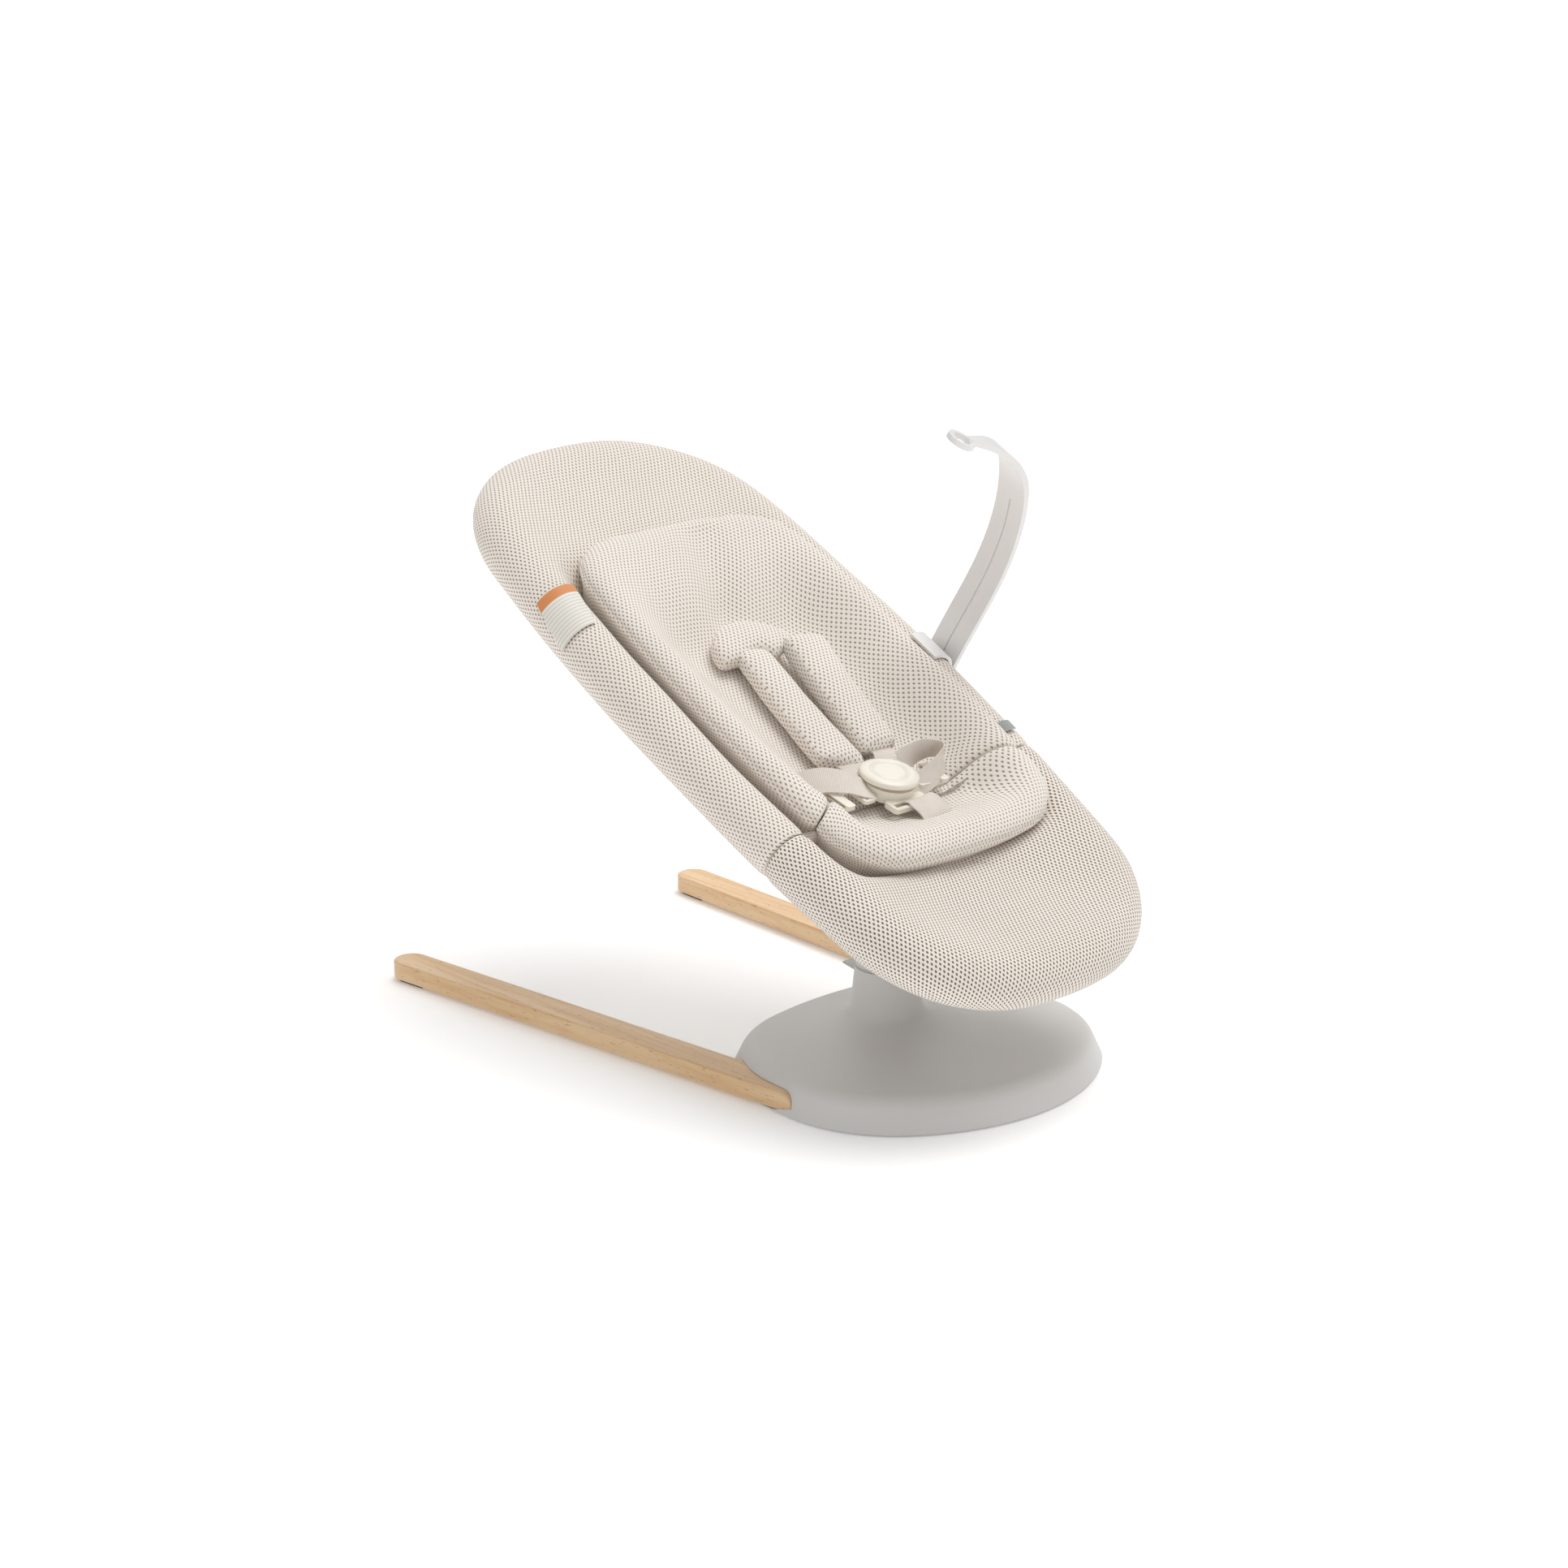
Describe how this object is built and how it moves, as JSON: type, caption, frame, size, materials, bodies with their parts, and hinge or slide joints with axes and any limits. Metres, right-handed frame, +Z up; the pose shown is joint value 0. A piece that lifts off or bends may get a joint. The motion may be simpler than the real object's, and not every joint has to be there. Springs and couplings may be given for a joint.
{
  "type": "bouncer seat",
  "caption": "Infant bouncer seat: oval padded mesh sling with insert and harness on a short column, weighted base, two beech outrigger legs and a clip-on toy bar.",
  "frame": {"origin": "on the floor under the column axis, at the sole of the centre foot", "axes": "+Z up, +Y towards the head end and the leg tips, +X towards the side that carries the toy bar"},
  "size_m": [0.4251, 0.7283, 0.5889],
  "materials": {
    "abs_white": "fine moulded texture",
    "abs_grey": "smooth moulded",
    "steel_plate": "zinc plated",
    "rubber_dark": "matt",
    "beech": "clear satin lacquer",
    "zinc_steel": "zinc plated",
    "bronze": "sintered",
    "spring_steel": "oiled",
    "nylon_dark": "moulded",
    "powder_grey": "powder coat",
    "air_mesh": "knitted spacer mesh",
    "webbing": "woven tape",
    "acetal_cream": "satin moulded",
    "label_satin": "woven satin, blank",
    "tab_twill": "plain twill",
    "toy_bar_abs": "satin moulded"
  },
  "bodies": {
    "base": {"base_cover": "abs_white", "base_plate": "steel_plate", "base_feet": "rubber_dark", "centre_foot": "rubber_dark", "cover_screws": "zinc_steel", "leg_left": "beech", "leg_right": "beech", "leg_bracket_left": "steel_plate", "leg_bracket_right": "steel_plate", "leg_bolts": "zinc_steel", "leg_pads": "rubber_dark", "column_post": "steel_plate", "post_bolts": "zinc_steel", "seam_ring": "abs_grey", "hub_spigot": "steel_plate", "hub_shell_left": "abs_white", "hub_shell_right": "abs_white", "hub_screws": "zinc_steel", "axle_bushes": "bronze", "lever_pin": "zinc_steel", "brake_spring": "spring_steel"},
    "recline": {"recline_disc": "steel_plate", "bounce_springs": "spring_steel"},
    "seat": {"axle": "zinc_steel", "axle_washers": "zinc_steel", "axle_circlips": "zinc_steel", "tube_clip_screws": "zinc_steel", "spring_drum_left": "nylon_dark", "spring_drum_right": "nylon_dark", "seat_carrier": "powder_grey", "cross_tube_front": "powder_grey", "cross_tube_rear": "powder_grey", "frame_tube_head": "powder_grey", "frame_tube_foot": "powder_grey", "frame_couplers": "zinc_steel", "tube_clips": "powder_grey", "seat_cover_back": "air_mesh", "seat_cover_foot": "air_mesh", "insert_back_pad": "air_mesh", "insert_front_bolster": "air_mesh", "collar_pad": "air_mesh", "shoulder_pad_left": "air_mesh", "shoulder_pad_right": "air_mesh", "shoulder_strap_left": "webbing", "shoulder_strap_right": "webbing", "waist_strap_left": "webbing", "waist_strap_right": "webbing", "crotch_strap": "webbing", "buckle_body": "acetal_cream", "buckle_tongue_left": "acetal_cream", "buckle_tongue_right": "acetal_cream", "strap_adjusters": "acetal_cream", "care_label": "label_satin", "side_tab": "tab_twill"},
    "lever": {"release_lever": "abs_grey"},
    "brake": {"brake_plunger": "nylon_dark"},
    "buckle_press": {"buckle_button": "acetal_cream"},
    "toy_bar_arm": {"toy_bar": "toy_bar_abs", "toy_bar_hook": "toy_bar_abs", "toy_bar_pins": "zinc_steel"}
  },
  "joints": [
    {"name": "seat_recline", "type": "hinge", "parent": "base", "child": "recline", "pos_m": [0, 0, 0.134], "axis": [1, 0, 0], "range_deg": [-28, 12]},
    {"name": "seat_bounce", "type": "hinge", "parent": "recline", "child": "seat", "pos_m": [0, 0, 0.134], "axis": [1, 0, 0], "range_deg": [-3, 3], "stiffness_Nm_per_rad": 350, "springref_deg": 0.69},
    {"name": "release_lever_lift", "type": "hinge", "parent": "base", "child": "lever", "pos_m": [0, 0.024, 0.079], "axis": [1, 0, 0], "range_deg": [0, 9], "stiffness_Nm_per_rad": 0.6, "springref_deg": -11.46},
    {"name": "brake_release", "type": "slide", "parent": "base", "child": "brake", "axis": [0, 0, -1], "range_m": [0, 0.004], "deforming": ["brake_spring"]},
    {"name": "buckle_button_press", "type": "slide", "parent": "seat", "child": "buckle_press", "axis": [0, 0.2882, -0.9576], "range_m": [0, 0.002], "stiffness_N_per_m": 1500, "springref_m": -0.002},
    {"name": "toy_bar_swing", "type": "hinge", "parent": "seat", "child": "toy_bar_arm", "pos_m": [0.167, 0.11654, 0.3193], "axis": [0, 0.8767, 0.481], "range_deg": [0, 30]}
  ],
  "couplings": [
    {"joint": "brake_release", "follows": "release_lever_lift", "m_per_rad": 0.024}
  ]
}
